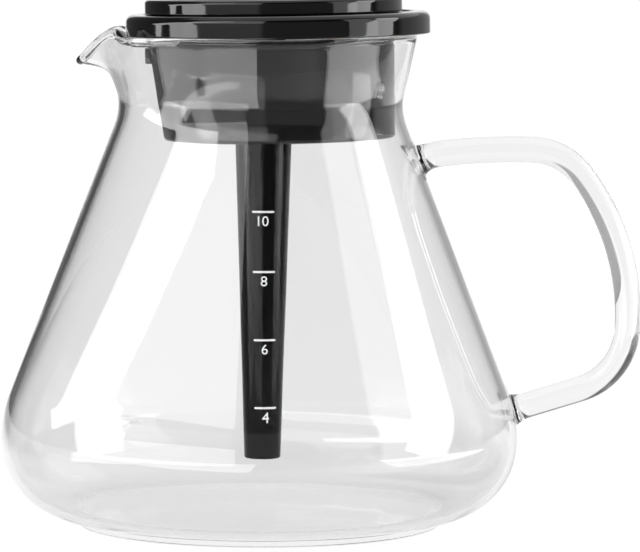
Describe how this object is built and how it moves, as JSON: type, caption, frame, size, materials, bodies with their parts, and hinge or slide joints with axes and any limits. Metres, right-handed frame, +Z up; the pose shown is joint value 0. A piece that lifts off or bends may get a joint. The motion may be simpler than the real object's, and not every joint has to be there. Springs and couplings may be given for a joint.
{
  "type": "glass coffee server",
  "caption": "Conical glass coffee server with a pulled spout, a fused glass handle, a black insulated plug lid and a long mixing tube marked in cups.",
  "frame": {"origin": "centre of the flat underside of the foot", "axes": "+Z up, +X from the spout towards the handle, +Y to the left when the handle points away"},
  "size_m": [0.1918, 0.155, 0.1578],
  "materials": {
    "glass": "clear polished borosilicate glass",
    "black_gloss": "black gloss polypropylene",
    "plug_gloss": "smoke black gloss plastic",
    "tube_gloss": "black gloss plastic with faint flow marks",
    "silicone": "matt translucent silicone",
    "print_white": "white pad print"
  },
  "bodies": {
    "vessel": {"glass_vessel": "glass", "glass_foot": "glass", "glass_handle": "glass"},
    "lid": {"lid_flange": "black_gloss", "lid_top_cap": "black_gloss", "lid_plug": "plug_gloss", "cap_seal": "silicone", "rim_gasket": "silicone", "tube_sleeve": "plug_gloss", "sleeve_o_ring": "silicone"},
    "tube": {"mixing_tube": "tube_gloss", "tube_marks": "print_white"}
  },
  "joints": [
    {"name": "lid_lift", "type": "slide", "parent": "vessel", "child": "lid", "axis": [0, 0, 1], "range_m": [0, 0.145]},
    {"name": "tube_lift", "type": "slide", "parent": "lid", "child": "tube", "axis": [0, 0, 1], "range_m": [0, 0.145]}
  ]
}
